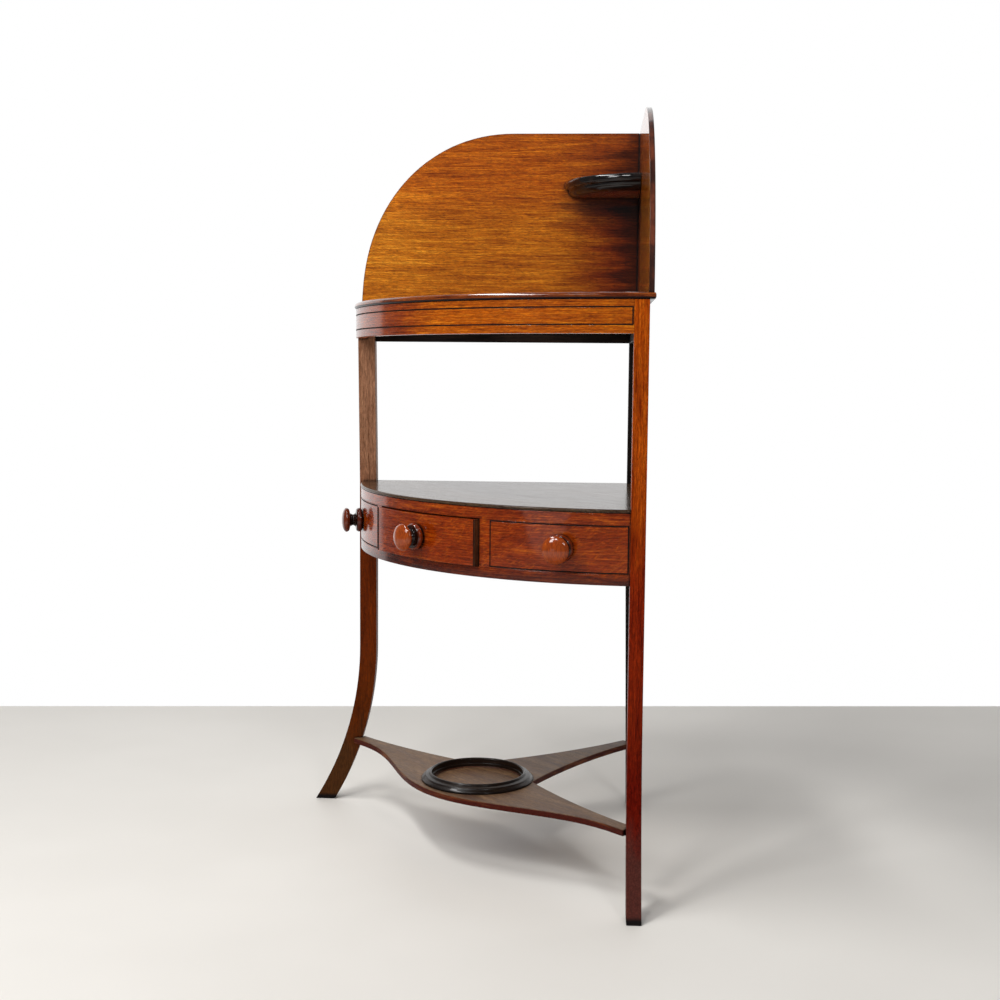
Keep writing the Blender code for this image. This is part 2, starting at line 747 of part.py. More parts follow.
def drawer_back(material):
    inner = drawer_box_half() - DRAWER_SIDE_THICK - FIT_GAP
    reach = drawer_back_place()
    low = OPENING_FOOT_HEIGHT + DRAWER_BOTTOM_RISE + DRAWER_BOTTOM_THICK + FIT_GAP * 2
    high = OPENING_HEAD_HEIGHT - DRAWER_BACK_DROP
    return box("drawer_back", (-inner, CORNER_Y - reach - DRAWER_SIDE_THICK, low),
               (inner, CORNER_Y - reach, high), material)


def drawer_bottom(material):
    """Bottom board in the sides' grooves, running under the back up to the curved front."""
    half = drawer_box_half() - DRAWER_SIDE_THICK + DRAWER_GROOVE
    radius = CASE_RADIUS - DRAWER_FRONT_THICK - FIT_GAP
    turn = math.asin(half / radius)
    plan = bow_arc(radius, -turn, turn)
    reach = drawer_back_place()
    plan += [(half, CORNER_Y - reach), (-half, CORNER_Y - reach)]
    low = OPENING_FOOT_HEIGHT + FIT_GAP + DRAWER_BOTTOM_RISE
    return prism("drawer_bottom", plan, low, low + DRAWER_BOTTOM_THICK, material)


def drawer(material, lining, bead, turned_wood):
    """The whole drawer, hung from an empty on its line of travel and drawn a little out."""
    travel = bpy.data.objects.new("drawer_travel", None)
    bpy.context.collection.objects.link(travel)
    front = drawer_front(material, bead)
    bore_for_knob(front, 0)
    pieces = [front, drawer_back(lining), drawer_bottom(lining)]
    pieces += [drawer_side(side, lining) for side in (-1, 1)]
    pieces += [bpy.data.objects["drawer_bead_" + hand] for hand in ("left", "right")]
    pieces.append(knob("knob_centre", 0, turned_wood))
    shade(front)
    for piece in pieces:
        piece.parent = travel
    travel.location = (0, -DRAWER_AJAR, 0)
    return travel


# Knobs

def knob_profile():
    """Half section of a knob as (radius, height above the front's surface), top to bottom."""
    face = KNOB_LENGTH
    rim = face - KNOB_DISC_THICK
    flange_head = KNOB_STAND + KNOB_FLANGE_THICK
    points = [(0, face)]
    dome = KNOB_DISC_THICK * KNOB_DOME_share
    for i in range(1, NOSE_STEPS + 1):
        turn = QUARTER * 2 * i / NOSE_STEPS
        points.append((KNOB_RADIUS * math.sin(turn), face - dome * (1 - math.cos(turn))))
    undercut = rim + (face - dome - rim) * KNOB_UNDERCUT_HEIGHT_share
    points.append((KNOB_RADIUS * KNOB_UNDERCUT_RADIUS_share, undercut))
    points.append((KNOB_NECK_RADIUS * KNOB_THROAT_share, rim))
    points.append((KNOB_NECK_RADIUS, (rim + flange_head) / 2))
    points.append((KNOB_NECK_RADIUS * KNOB_SEAT_share, flange_head))
    for i in range(NOSE_STEPS + 1):
        turn = math.pi * i / NOSE_STEPS
        bead = KNOB_FLANGE_THICK / 2
        radius = KNOB_FLANGE_RADIUS - bead + bead * math.sin(turn)
        points.append((radius, flange_head - bead * (1 - math.cos(turn))))
    points.append((KNOB_STEM_RADIUS, KNOB_STAND))
    points.append((KNOB_STEM_RADIUS, -KNOB_STEM_DEPTH))
    points.append((0, -KNOB_STEM_DEPTH))
    return points


def knob(name, bearing, material):
    piece = turned(name, knob_profile(), KNOB_STEPS, material)
    origin = (*bow_point(CASE_RADIUS, bearing), KNOB_HEIGHT)
    direction = (math.sin(bearing), -math.cos(bearing), 0)
    return place_along(piece, origin, direction)


def bore_for_knob(front, bearing):
    """Blind hole for a knob's stem."""
    depth = KNOB_STEM_DEPTH + FIT_GAP
    radius = KNOB_STEM_RADIUS + FIT_GAP
    profile = [(0, OVERRUN), (radius, OVERRUN), (radius, -depth), (0, -depth)]
    tool = turned("bore", profile, KNOB_STEPS, front.data.materials[0])
    origin = (*bow_point(CASE_RADIUS, bearing), KNOB_HEIGHT)
    place_along(tool, origin, (math.sin(bearing), -math.cos(bearing), 0))
    combine(front, tool, "DIFFERENCE")


def blind_knobs(material):
    for side, hand in ((-1, "left"), (1, "right")):
        bearing = side * math.radians(KNOB_BEARING)
        bore_for_knob(bpy.data.objects["blind_front_" + hand], bearing)
        shade(bpy.data.objects["blind_front_" + hand])
        knob("knob_" + hand, bearing, material)


# Stretcher

def leg_corner(height):
    """Inner corner of the right front leg at a height, as (along, off)."""
    drop = max(SPLAY_START_HEIGHT - height, 0)
    reach = SPLAY_RADIUS + LEG_DEPTH
    along = SIDE - LEG_DRAW_IN + SPLAY_RADIUS - math.sqrt(reach ** 2 - drop ** 2)
    return along, LEG_THICK


def back_leg_corner(height):
    """Distance of the back leg's inner faces from the walls' planes at a height."""
    share = min(height / BACK_TAPER_HEIGHT, 1)
    size = BACK_LEG_FOOT_SIZE + (LEG_THICK - BACK_LEG_FOOT_SIZE) * share
    return size - BACK_LEG_SET_OUT


def flare(share):
    """Swell of an arm from its end (share 1) to the ring (share 0)."""
    return (1 - share) ** ARM_FLARE


def stretcher_outline(grow=0):
    """Plan of the three-armed stretcher, concave between the arms and swelling to the ring."""
    middle = STRETCHER_HEIGHT - STRETCHER_THICK / 2
    leg_x, leg_y = wall_point(*leg_corner(middle))
    ring_y = CORNER_Y - RING_PLACE
    notch = RING_RADIUS + grow
    half = ARM_HALF_WIDTH + grow
    right_end = leg_x + ARM_LET_IN
    front_root = leg_y - ring_y + FRONT_SWELL + grow
    front = []
    for i in range(CURVE_STEPS * 2 + 1):
        x = right_end * (1 - i / CURVE_STEPS)
        share = min(abs(x) / FRONT_SWELL_REACH, 1)
        swell = (front_root - half) * (1 + math.cos(math.pi * share)) / 2
        front.append((x, leg_y - half - swell))
    turn = math.radians(BACK_NOTCH_TURN)
    notch_x = notch * math.cos(turn)
    notch_y = ring_y + notch * math.sin(turn)
    edge = []
    for i in range(CURVE_STEPS + 1):
        share = 1 - i / CURVE_STEPS
        x = notch_x + (right_end - notch_x) * share
        y = leg_y + half + (notch_y - leg_y - half) * flare(share)
        edge.append((x, y))
    corner = back_leg_corner(middle)
    back_end = wall_point(corner, corner)[1] + ARM_LET_IN
    for i in range(1, CURVE_STEPS + 1):
        share = i / CURVE_STEPS
        y = notch_y + (back_end - notch_y) * share
        x = half + (notch_x - half) * flare(share)
        edge.append((x, y))
    return front + [(-x, y) for x, y in edge] + edge[::-1]


def stretcher(material, legs):
    """The stretcher, let into the inner corners of the three legs and turned out a little
    inside the ring."""
    low = STRETCHER_HEIGHT - STRETCHER_THICK
    for leg in legs:
        tool = prism("housing", stretcher_outline(FIT_GAP), low - FIT_GAP,
                     STRETCHER_HEIGHT + FIT_GAP, material)
        combine(leg, tool, "DIFFERENCE")
    piece = prism("stretcher", stretcher_outline(), low, STRETCHER_HEIGHT, material)
    profile = [(0, OVERRUN), (RING_BORE_RADIUS, OVERRUN),
               (RING_BORE_RADIUS, -RING_RECESS_DEPTH), (0, -RING_RECESS_DEPTH)]
    tool = turned("recess", profile, ROUND_STEPS, material)
    tool.location = (0, CORNER_Y - RING_PLACE, STRETCHER_HEIGHT)
    combine(piece, tool, "DIFFERENCE")
    soften(piece, STRETCHER_ARRIS)
    return piece


def jug_ring(material):
    """Turned moulding on the stretcher: a flat base, a bead and an upright rim, with a
    small ledge inside at the height of the base."""
    inner = RIM_RADIUS - RIM_WALL
    base = RING_BASE_HEIGHT
    bead_middle = (RING_RADIUS + RIM_RADIUS - RING_BEAD_RADIUS) / 2
    points = [(inner, RIM_HEIGHT - RIM_ROUND), (inner + RIM_ROUND, RIM_HEIGHT)]
    points += [(RIM_RADIUS - RIM_ROUND, RIM_HEIGHT), (RIM_RADIUS, RIM_HEIGHT - RIM_ROUND)]
    points.append((RIM_RADIUS, base + RING_BEAD_RADIUS * 2))
    for i in range(NOSE_STEPS + 1):
        turn = QUARTER * 2 * i / NOSE_STEPS
        rise = RING_BEAD_RADIUS * RING_BEAD_RISE_share * (1 + math.cos(turn))
        points.append((bead_middle + RING_BEAD_RADIUS * math.sin(turn), base + rise))
    points += [(RING_RADIUS - RING_BASE_ROUND, base), (RING_RADIUS, base - RING_BASE_ROUND)]
    points += [(RING_RADIUS, 0), (RING_BORE_RADIUS, 0), (RING_BORE_RADIUS, base)]
    points.append((inner, base))
    piece = turned("jug_ring", points, ROUND_STEPS, material)
    piece.location = (0, CORNER_Y - RING_PLACE, STRETCHER_HEIGHT)
    return piece


# Glue blocks and screws

def glue_blocks(name, high, place_shares, material):
    """Triangular blocks in the angle between the wall rails and the board above."""
    near = RAIL_THICK + FIT_GAP
    head = high - FIT_GAP
    section = ((near, head), (near + BLOCK_SIZE, head), (near, head - BLOCK_SIZE))
    span = SIDE - LEG_DEPTH - LEG_THICK
    for side, hand in ((-1, "left"), (1, "right")):
        for share, place in zip(place_shares, ("rear", "front")):
            middle = LEG_THICK + span * share
            rings = []
            for along in (middle - BLOCK_LENGTH / 2, middle + BLOCK_LENGTH / 2):
                rings.append([(*wall_point(along, off, side), z) for off, z in section])
            loft("_".join((name, hand, place)), rings, material)


def screw(name, origin, direction, length, material):
    """Countersunk wood screw, its head's face at the origin and its shank along a direction."""
    profile = [(0, length), (SCREW_RADIUS / 2, length), (SCREW_RADIUS, length - SCREW_RADIUS * 2),
               (SCREW_RADIUS, SCREW_HEAD_DEPTH), (SCREW_HEAD_RADIUS, 0), (0, 0)]
    piece = turned(name, profile, SCREW_STEPS, material)
    return place_along(piece, origin, direction)


def screw_hole(piece, origin, direction, length):
    """Hole for a screw, a fit gap larger all round and open behind its head."""
    wide = SCREW_RADIUS + FIT_GAP
    head = SCREW_HEAD_RADIUS + FIT_GAP
    deep = length + FIT_GAP
    profile = [(0, deep), (wide, deep), (wide, SCREW_HEAD_DEPTH), (head, 0),
               (head, -OVERRUN), (0, -OVERRUN)]
    tool = turned("screw_hole", profile, SCREW_STEPS, piece.data.materials[0])
    place_along(tool, origin, direction)
    combine(piece, tool, "DIFFERENCE")


def panel_screws(board, panels, material):
    """Screws up through the top board's wall edges into the feet of the splash panels."""
    up = (0, 0, 1)
    length = TOP_THICK + SCREW_BITE
    span = PANEL_FOOT_LENGTH - LEG_DEPTH - LEG_THICK * 2
    for side, hand, panel in zip((-1, 1), ("left", "right"), panels):
        for i, share in enumerate(PANEL_SCREW_shares):
            along = LEG_THICK * 2 + span * share
            off = (PANEL_OFF + PANEL_INNER_OFF) / 2
            origin = (*wall_point(along, off, side), TOP_FOOT)
            screw_hole(board, origin, up, length)
            screw_hole(panel, origin, up, length)
            screw("panel_screw_" + hand + "_" + str(i + 1), origin, up, length, material)


def build():
    clear_scene()
    gold = wood("splash_mahogany", GOLD_MAHOGANY, 0.28)
    red = wood("case_mahogany", RED_MAHOGANY, 0.25)
    dark = wood("leg_mahogany", DARK_MAHOGANY, 0.30)
    pine = wood("pine", PINE, 0.60)
    black = wood("ebony", EBONY, 0.15)
    brass = wood("brass", BRASS, 0.40, metallic=1.0)
    knob_wood = wood("knob_mahogany", RED_MAHOGANY, 0.18)
    ring_wood = wood("ring_mahogany", DARK_MAHOGANY, 0.15)

    left_leg = front_leg("front_leg_left", -1, dark)
    right_leg = front_leg("front_leg_right", 1, dark)
    rear_leg = back_leg("back_leg", dark)
    front_legs = (left_leg, right_leg)

    frieze(red, black, front_legs)
    for side, hand, leg in ((-1, "left", left_leg), (1, "right", right_leg)):
        wall_rail("upper_rail_" + hand, side, TOP_FOOT - RAIL_DEPTH, TOP_FOOT,
                  (rear_leg, leg), red)
        wall_rail("case_rail_" + hand, side, CASE_FOOT_HEIGHT, SHELF_FOOT, (rear_leg, leg), red)
    case_bow_rail("case_top_rail", OPENING_HEAD_HEIGHT, SHELF_FOOT, front_legs, red)
    case_bow_rail("case_foot_rail", CASE_FOOT_HEIGHT, OPENING_FOOT_HEIGHT, front_legs, red)
    blind_front_pair(red, black)
    blind_knobs(knob_wood)

    board = top_board(red)
    shelf_board(dark)
    case_board(pine)
    drawer_way(pine)
    drawer(red, pine, dark, knob_wood)

    right_panel = splash_panel("splash_panel_right", 1, PANEL_OFF, gold)
    left_panel = splash_panel("splash_panel_left", -1, PANEL_INNER_OFF + FIT_GAP, gold)
    soap_shelf(black)
    panel_screws(board, (left_panel, right_panel), brass)

    stretcher(dark, (left_leg, right_leg, rear_leg))
    jug_ring(ring_wood)
    glue_blocks("upper_glue_block", TOP_FOOT, BLOCK_PLACE_shares, pine)
    glue_blocks("case_glue_block", SHELF_FOOT, CASE_BLOCK_PLACE_shares, pine)


build()
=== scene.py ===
"""Looks of the corner washstand: worn edges, polished mahogany and soft studio light."""
import math

import bmesh
import bpy
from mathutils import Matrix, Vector


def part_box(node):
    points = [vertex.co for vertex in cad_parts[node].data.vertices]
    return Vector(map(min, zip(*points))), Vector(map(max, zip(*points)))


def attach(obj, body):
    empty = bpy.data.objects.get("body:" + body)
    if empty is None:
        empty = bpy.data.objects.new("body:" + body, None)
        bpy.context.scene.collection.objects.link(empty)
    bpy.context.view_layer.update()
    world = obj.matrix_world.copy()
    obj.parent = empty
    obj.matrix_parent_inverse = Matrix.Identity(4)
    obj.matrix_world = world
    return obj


# Lengths are in metres and colours are linear

# Camera of the photograph
CAMERA_PLACE = (1.4874, -1.3725, 0.6823)
CAMERA_TURN_DEGREES = (84.684, -0.473, 48.492)
CAMERA_LENS = 50.53
SENSOR_WIDTH = 36.0

# Edges, and the line of old wax between the splash panels. The faces of the pierced pieces
# keep their triangles, as one face with a hole in it would be closed over
WELD_DISTANCE = 0.00001
FLAT_ANGLE = math.radians(0.2)
SHARP_ANGLE = math.radians(35)
ARRIS = 0.0005
FINE_ARRIS = 0.00015
PANEL_ARRIS = 0.0004
WAX_FACE = 0.0014
WAX_WIDTH = 0.0011
WAX_WAVES = ((0.031, 0.00016, 0.4), (0.0093, 0.00010, 1.9), (0.0047, 0.00006, 3.1))
WAX_STEPS = 120
WAX_HOLLOW = (0.45, 0.18)
PIERCED = ("top_board", "stretcher", "splash_panel_left", "splash_panel_right")

# Plan: the walls run along the diagonals and the bowed pieces are arcs about the back corner
SIDES = ("left", "right")
DIAGONAL = math.sqrt(0.5)
CORNER_Y = 0.224947
BOW_RADIUS = 0.43
CASE_RADIUS = 0.4225
RING_Y = CORNER_Y - 0.318
RING_RADIUS = 0.07
DRAWER_AJAR = 0.007

# Colours; a wood has its light, middle and dark tone
GOLD = ((0.86, 0.325, 0.014), (0.43, 0.112, 0.002), (0.10, 0.010, 0.001))
HONEY = ((0.86, 0.265, 0.006), (0.39, 0.076, 0.001), (0.065, 0.005, 0.001))
RED = ((0.56, 0.110, 0.003), (0.22, 0.024, 0.001), (0.040, 0.002, 0.001))
TOP_RED = ((0.34, 0.090, 0.012), (0.21, 0.042, 0.005), (0.07, 0.008, 0.001))
LEG_HIGH = ((0.64, 0.145, 0.006), (0.39, 0.061, 0.002), (0.14, 0.010, 0.001))
# The left leg's dull tones here and its dull foot tone below are the leg wood greyed: painted
# reflection of the pale wall
LEG_GREYED_BY_REFLECTION = ((0.50, 0.250, 0.135), (0.33, 0.155, 0.085), (0.14, 0.050, 0.022))
LEG_FOOT = (0.075, 0.026, 0.020)
LEG_FOOT_DULL = (0.058, 0.024, 0.007)
PANEL_EDGE = ((0.035, 0.009, 0.005), (0.16, 0.036, 0.014))
BROWN = ((0.13, 0.055, 0.028), (0.090, 0.034, 0.018), (0.040, 0.012, 0.007))
SHELF = ((0.095, 0.056, 0.031), (0.064, 0.037, 0.021), (0.028, 0.014, 0.009))
DRAB = ((0.22, 0.130, 0.068), (0.15, 0.084, 0.044), (0.075, 0.034, 0.020))
BEAD = ((0.16, 0.050, 0.015), (0.09, 0.028, 0.010), (0.035, 0.010, 0.004))
WORN_EDGE = ((0.06, 0.006, 0.002), (0.20, 0.060, 0.016))
KNOB = ((0.46, 0.100, 0.008), (0.29, 0.044, 0.004), (0.11, 0.010, 0.001))
# The left knob's tones: the knob wood darker, painted shade on the knob that turns away from the
# light
KNOB_SHADED = ((0.22, 0.045, 0.010), (0.13, 0.020, 0.005), (0.05, 0.006, 0.002))
# Near black: dark stained wood; on the upper rails and back leg, under the top, also painted
# shade
DARK_STAIN_AND_SHADE = ((0.020, 0.009, 0.005), (0.010, 0.005, 0.003), (0.004, 0.002, 0.002))
PINE = ((0.50, 0.34, 0.18), (0.42, 0.27, 0.13), (0.27, 0.15, 0.06))
CHIP = (0.62, 0.50, 0.40)
INK = (0.006, 0.005, 0.005)
INK_HAZE = (0.020, 0.014, 0.012)
# Painted shade in the neck of a knob
THROAT_SHADE = (0.014, 0.003, 0.001)
NOSING_SHADE = (0.006, 0.001, 0.001)
BARE_BROWN = (0.40, 0.090, 0.010)
BRASS = ((0.62, 0.44, 0.17), (0.20, 0.12, 0.05))
FLOOR = ((0.80, 0.77, 0.72), (0.84, 0.81, 0.76))

# Marks of the wood: sizes along, across and through the grain
BROAD_LENGTH = 0.20
LINE_LENGTH = 0.05
FIBRE_SIZE = (0.012, 0.0006, 0.0006)
PORE_SIZE = (0.0055, 0.00045, 0.00045)
SPECKLE_SIZE = (0.009, 0.0014, 0.0014)
CLOUD_SIZE = (0.030, 0.014, 0.014)
CROSS_SIZE = (0.010, 0.0018, 0.0018)
CHIP_SIZE = (0.004, 0.0016, 0.0016)
FIGURE_SLANT = 0.6

# How much of each mark counts, and the noise values between which it sets in; a second
# pair gives its level at both ends
BROAD_SHARE = 0.36
LINE_SHARE = 0.64
DARK_TO_MIDDLE = (0.36, 0.53)
MIDDLE_TO_LIGHT = (0.48, 0.66)
FIGURE_LIGHT = (0.50, 0.66)
FIGURE_DARK = (0.46, 0.34)
FIBRE_DIM = (0.30, 0.62, 0.75, 1.12)
SPECKLE_DIM = (0.34, 0.66, 0.72, 1.24)
PORE_ONSET = (0.60, 0.68)
PORE_DEPTH = 0.25
CHIP_ONSET = (0.62, 0.68)
CHIP_REACH = 0.0012
CHIP_ROUGHNESS = 0.6
RIM_REACH = 0.0034
EDGE_ONSET = (0.985, 0.90)
GAP_ONSET = (0.92, 0.50)
# Strength of the darkening in joints and hollows, partly soiling and partly painted shade
DIRT_AND_SHADE = 0.9
COAT_ROUGHNESS = 0.06
COAT_LOST = (-0.05, 0.45)
BUMP_DISTANCE = 0.0002
WOOD_BUMP = 0.25
MID_NOISE = (0.3, 0.7)

# Black polish and brass
HAZE_SIZE = (0.02, 0.01, 0.01)
HAZE_ONSET = (0.45, 0.75)
POLISH_GRAIN = (0.004, 0.0006, 0.0006)
BLACK_BUMP = 0.2
BLACK_SHINE = 0.1
BLACK_COAT_ROUGHNESS = 0.05
STAIN_SIZE = (0.002, 0.002, 0.002)
STAIN_ONSET = (0.35, 0.7)
BRASS_BUMP = 0.3
BRASS_BUMP_DISTANCE = 0.0001
BRASS_ROUGHNESS = (0.3, 0.6)

# Zones of a splash panel: distances from the back corner or heights at which a tone
# sets in and is full, and what it multiplies the colour by
SOAP_Z = 0.955
PANEL_DRIFT = ((0.14, 0.012, 0.012), 0.14)
PANEL_PALE = ((0.34, 0.48), (1.25, 1.40, 2.20))
PANEL_HIGH = ((0.89, 0.97), (0.92, 0.72, 0.50))
# Near the back corner the panels turn darker and redder, partly as less faded wood and partly as
# painted shade of the corner and the soap shelf; a band below the soap shelf gets a painted
# shadow of it, nearly black
PANEL_FADE_AND_SHADE = ((0.22, 0.09), (0.40, 0.18, 0.25))
PANEL_CORNER_SHADE = ((0.115, 0.075), (0.28, 0.24, 0.40))
FADE_AND_SHADE_BELOW_SOAP = (SOAP_Z + 0.03, SOAP_Z - 0.03, 0.70, 1.0)
SOAP_SHADOW_FOOT = (SOAP_Z - 0.060, SOAP_Z - 0.018)
SOAP_SHADOW_HEAD = (SOAP_Z + 0.020, SOAP_Z + 0.004)
SOAP_SHADOW_REACH = (0.225, 0.155, 0, 0.66)
PANEL_FACE = (0.6, 0.9)
PANEL_WEAR = ((0.03, 0.03, 0.03), (0.4, 0.65))

# Zones of the legs by height, of the case's foot, the frieze and the knobs
LEG_DRIFT = ((0.06, 0.02, 0.02), 0.12)
LEG_LOW = (0.62, 0.46)
LEG_LOWER = (0.32, 0.22)
LEG_FOOT_ONSET = (0.20, 0.12)
LEG_FOOT_SHARE = 0.80
LEG_SOLE = (0.010, 0.004)
CASE_FOOT = ((0.432, 0.412), (0.30, 0.22, 0.30))
FRIEZE_DRIFT = ((0.03, 0.02, 0.02), 0.10)
# Painted shade on the left part of the frieze: where it sets in and is full, and the share
FRIEZE_LEFT_SHADE = ((0.085, 0.015), (0.55, 0.36, 0.60))
# Knobs: heights above the case front below which painted shade darkens all but the dome, and
# between which the neck turns nearly black
KNOB_BACK_SHADE = ((0.0255, 0.0200), (0.60, 0.45, 0.45))
KNOB_THROAT_SHADE = ((0.0075, 0.0105), (0.0205, 0.0180))
WALL_BROWN = (5.5, 4.5, 4.0)
WALL_FACE = (0.5, 0.9)
STRETCHER_TOP = (0.4, 0.9)
STRETCHER_WEAR = ((0.10, 0.05, 0.01), (0.50, 0.70))
# Painted shade under the nosing: faces that look down turn nearly black between these levels
NOSING_UNDER = (0.10, 0.65)
BARE_FACE = (0.93, 0.99)
BARE_REACH = 0.092
BARE_EDGE = 0.008

# Floor and light; the world is a white wall on one side and a dimmer room on the other
FLOOR_BACK_EDGE = (-0.611, 0.492)
FLOOR_TURN = math.radians(50.4)
FLOOR_SIZE = 6.0
FLOOR_Z = -0.0005
FLOOR_CLOUD = (0.5, 0.5, 0.5)
FLOOR_ROUGHNESS = 0.55
WALL_WAY = (-0.7071, 0.7071, 0.0)
WALL_EDGE = (0.50, 0.58)
WALL_LEVEL = 1.02
ROOM_LEVEL = 0.11
LAMP_AIM = (0.1, -0.1, 0.6)
SKYLIGHT_AIM = (0.0, -0.2, 0.6)
GLOW_STEPS = (1.0, 0.8, 0.6, 0.4)
GLOW_SIZE = (0.9, 0.38)
GLOW_POWER = 0.50

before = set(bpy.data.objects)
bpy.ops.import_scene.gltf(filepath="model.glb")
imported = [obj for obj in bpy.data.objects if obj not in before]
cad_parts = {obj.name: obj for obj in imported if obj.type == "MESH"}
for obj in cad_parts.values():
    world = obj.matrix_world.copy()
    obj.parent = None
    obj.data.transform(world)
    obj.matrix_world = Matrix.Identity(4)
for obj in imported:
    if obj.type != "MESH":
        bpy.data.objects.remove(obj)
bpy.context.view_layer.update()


# Shapes

def clean_shading(piece, arris, pierced):
    """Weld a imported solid's loose facets, round its sharp edges and smooth its curves.
    A flat face with a hole in it keeps its triangles."""
    mesh = piece.data
    if "custom_normal" in mesh.attributes:
        mesh.attributes.remove(mesh.attributes["custom_normal"])
    mesh.shade_smooth()
    weld = piece.modifiers.new("weld", "WELD")
    weld.merge_threshold = WELD_DISTANCE
    if not pierced:
        flat = piece.modifiers.new("flat_faces", "DECIMATE")
        flat.decimate_type = "DISSOLVE"
        flat.angle_limit = FLAT_ANGLE
    bevel = piece.modifiers.new("worn_edges", "BEVEL")
    bevel.width = arris
    bevel.segments = 2
    bevel.limit_method = "ANGLE"
    bevel.angle_limit = SHARP_ANGLE
    bevel.use_clamp_overlap = False
    bevel.harden_normals = False
    normals = piece.modifiers.new("normals", "WEIGHTED_NORMAL")
    normals.keep_sharp = False


def wall_frame(along_right, along_left, height):
    """Point from its distances along the two walls of the corner."""
    across = (along_right - along_left) * DIAGONAL
    return across, CORNER_Y - (along_right + along_left) * DIAGONAL, height


# Materials

class Nodes:
    """Short calls for the nodes of one tree."""

    def __init__(self, tree):
        self.tree = tree

    def node(self, kind, inputs, output=0, **settings):
        """Add a node with its inputs and settings; gives one of its outputs."""
        item = self.tree.nodes.new("ShaderNode" + kind)
        for key, value in settings.items():
            setattr(item, key, value)
        for key, value in inputs.items():
            if isinstance(value, bpy.types.NodeSocket):
                self.tree.links.new(value, item.inputs[key])
            else:
                item.inputs[key].default_value = value
        return item.outputs[output]

    def math(self, operation, first, second=0.0):
        return self.node("Math", {0: first, 1: second}, operation=operation)

    def dot(self, first, second):
        return self.node("VectorMath", {0: first, 1: second}, output="Value",
                         operation="DOT_PRODUCT")

    def ramp(self, value, low, high, first=0.0, last=1.0):
        """Smooth step of a value from low to high, with its level at both ends."""
        return self.node("MapRange", {"Value": value, "From Min": low, "From Max": high,
                                      "To Min": first, "To Max": last},
                         interpolation_type="SMOOTHSTEP")


class Look(Nodes):
    """One material, with calls for the masks and patterns that these woods are made of."""

    def __init__(self, name):
        self.material = bpy.data.materials.new(name)
        self.material.use_nodes = True
        super().__init__(self.material.node_tree)
        self.shader = self.tree.nodes["Principled BSDF"]

    def set(self, key, value):
        """Link or set an input of the shader."""
        if isinstance(value, bpy.types.NodeSocket):
            self.tree.links.new(value, self.shader.inputs[key])
        else:
            self.shader.inputs[key].default_value = value

    def noise(self, vector, size, detail=3.0, rough=0.55, twist=0.0):
        """Noise whose patches have a size in metres along each axis of the vector."""
        scale = [1 / length for length in size]
        stretched = self.node("VectorMath", {0: vector, 1: scale}, operation="MULTIPLY")
        return self.node("TexNoise", {"Vector": stretched, "Scale": 1.0, "Detail": detail,
                                      "Roughness": rough, "Distortion": twist})

    def drift(self, value, vector, size, amount, detail=4, rough=0.55):
        """Value moved to and fro by noise, so that a zone has no straight border."""
        wave = self.noise(vector, size, detail=detail, rough=rough)
        return self.math("ADD", value, self.math("MULTIPLY", wave, amount))

    def wear(self, vector, size, onset):
        """Mask of patches where an edge is worn."""
        return self.ramp(self.noise(vector, size, detail=4), *onset)

    def mix(self, factor, first, second, blend="MIX"):
        colours = [(*item, 1.0) if isinstance(item, tuple) else item for item in (first, second)]
        return self.node("Mix", {0: factor, 6: colours[0], 7: colours[1]}, output=2,
                         data_type="RGBA", blend_type=blend)

    def shade(self, factor, colour, share):
        """Where the factor is high, the colour is multiplied by a share per channel."""
        return self.mix(factor, colour, self.mix(1.0, colour, share, "MULTIPLY"))

    def split(self, vector):
        """The three parts of a vector."""
        parts = self.tree.nodes.new("ShaderNodeSeparateXYZ")
        self.tree.links.new(vector, parts.inputs[0])
        return tuple(parts.outputs)

    def vector(self, x, y, z):
        return self.node("CombineXYZ", {0: x, 1: y, 2: z})

    def grain(self, way):
        """Coordinates whose first axis runs along the grain: along x, y or z, along the
        left or right wall, or round the back corner (bow) or the jug ring (ring)."""
        x, y, z = self.split(self.node("TexCoord", {}, output="Object"))
        straight = {"x": (x, y, z), "y": (y, x, z), "z": (z, x, y)}
        if way in straight:
            return self.vector(*straight[way])
        if way in SIDES:
            across = self.math("MULTIPLY", x, side_of(way))
            along = self.math("SUBTRACT", across, self.math("SUBTRACT", y, CORNER_Y))
            off = self.math("ADD", across, y)
            return self.vector(self.math("MULTIPLY", along, DIAGONAL), off, z)
        centre, radius = (RING_Y, RING_RADIUS) if way == "ring" else (CORNER_Y, BOW_RADIUS)
        back = self.math("SUBTRACT", centre, y)
        bearing = self.math("ARCTAN2", x, back)
        square = self.math("ADD", self.math("MULTIPLY", x, x), self.math("MULTIPLY", back, back))
        return self.vector(self.math("MULTIPLY", bearing, radius), self.math("SQRT", square), z)

    def edge(self, radius):
        """Mask of the arrises: high where a rounded normal differs from the true one."""
        round_normal = self.node("Bevel", {"Radius": radius}, samples=4)
        normal = self.node("NewGeometry", {}, output="Normal")
        return self.ramp(self.dot(round_normal, normal), *EDGE_ONSET)

    def gap(self, reach):
        """Mask of joints and hollows: high where nearby surfaces close a point in."""
        open_share = self.node("AmbientOcclusion", {"Distance": reach}, output="AO", samples=4)
        return self.ramp(open_share, *GAP_ONSET)

    def facing(self, way, low, high):
        """Mask of the faces that look along a direction."""
        normal = self.node("NewGeometry", {}, output="Normal")
        return self.ramp(self.dot(normal, way), low, high)

    def bump(self, height, strength, distance=BUMP_DISTANCE):
        """Fine relief, too shallow for the mesh."""
        self.set("Normal", self.node("Bump", {"Height": height, "Strength": strength,
                                              "Distance": distance}))


def side_of(hand):
    """Sign of X on one side of the stand."""
    return 1 if hand == "right" else -1


